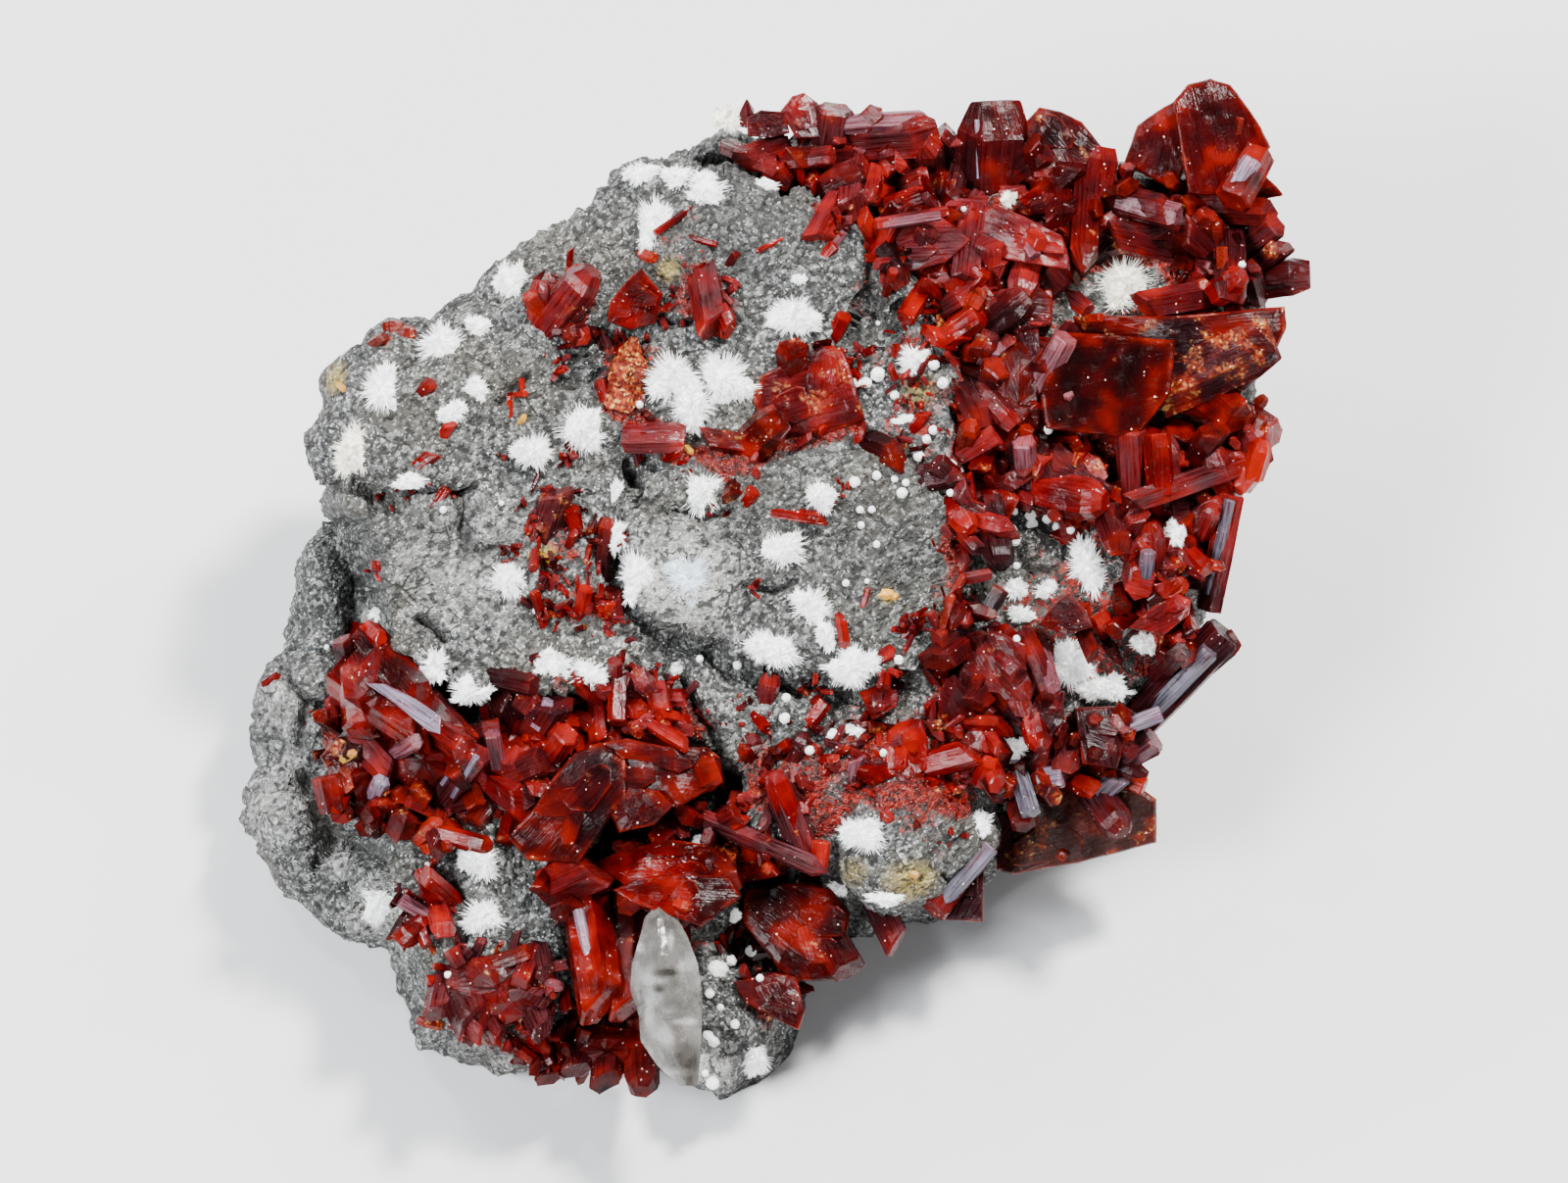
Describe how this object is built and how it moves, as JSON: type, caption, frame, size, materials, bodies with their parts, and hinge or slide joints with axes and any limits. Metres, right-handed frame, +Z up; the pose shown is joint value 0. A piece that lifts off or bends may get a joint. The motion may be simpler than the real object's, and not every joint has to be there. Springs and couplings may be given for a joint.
{
  "type": "mineral specimen",
  "caption": "Hand specimen of picropharmacolite with realgar: white needle sprays and red crystals on a grey rock matrix.",
  "frame": {"origin": "middle of the flat that the specimen rests on, at its level", "axes": "+Z up; the crystallised face looks up and towards -Y, +X to the right of someone who faces it"},
  "size_m": [0.0752, 0.07, 0.0343],
  "materials": {
    "grey_rock": "matt fine-grained grey rock with small glints",
    "red_realgar": "deep red, glossy, striated crystal faces",
    "maroon_realgar": "dark maroon crystal, frosted and striated",
    "rusty_realgar": "orange-red crystal under a rusty crust",
    "white_needles": "silky white radiating needles",
    "cream_needles": "silky cream radiating needles",
    "milky_calcite": "milky grey, partly clear, waxy"
  },
  "bodies": {
    "root": {"matrix": "grey_rock", "calcite_crystal": "milky_calcite", "great_block": "maroon_realgar", "right_bars": "red_realgar", "inner_crystals": "maroon_realgar", "upper_blocks": "red_realgar", "upper_band_crystals": "maroon_realgar", "crest_crystals": "red_realgar", "peak_blade": "maroon_realgar", "ridge_crystals": "red_realgar", "top_ridge_crystals": "red_realgar", "right_tip_crystals": "maroon_realgar", "edge_crystals": "red_realgar", "glossy_crystal": "red_realgar", "pillar_crystals": "maroon_realgar", "middle_right_crystals": "maroon_realgar", "broad_crystals": "maroon_realgar", "lower_blade": "maroon_realgar", "needle_fan": "red_realgar", "under_cluster": "maroon_realgar", "shelf_plate": "maroon_realgar", "under_blade": "maroon_realgar", "purple_tips": "maroon_realgar", "central_lower_crystals": "red_realgar", "wedge_crystal": "red_realgar", "long_blade": "red_realgar", "bottom_block": "maroon_realgar", "great_blade": "maroon_realgar", "hanging_crystals": "red_realgar", "left_prism_cluster": "maroon_realgar", "middle_cluster": "maroon_realgar", "small_left_cluster": "red_realgar", "lower_left_cluster": "red_realgar", "bottom_fringe": "maroon_realgar", "west_crystal": "red_realgar", "middle_crystal": "red_realgar", "east_crystal": "red_realgar", "rusty_ridge": "rusty_realgar", "spindle": "red_realgar", "sparkling_cluster": "red_realgar", "face_prisms": "red_realgar", "cliff_crystals": "maroon_realgar", "spray_top": "white_needles", "spray_top_fan": "white_needles", "spray_upper_left": "white_needles", "spray_west_edge": "white_needles", "spray_left_fan": "white_needles", "spray_left_cream": "cream_needles", "spray_centre_left": "white_needles", "spray_grey": "white_needles", "spray_high": "white_needles", "spray_triple": "white_needles", "spray_block_left": "white_needles", "spray_block_middle": "white_needles", "spray_block_right": "white_needles", "spray_block_low": "white_needles", "spray_block_corner": "white_needles", "spray_right_large": "white_needles", "spray_lower_large": "white_needles", "spray_cream_large": "cream_needles"}
  },
  "joints": []
}
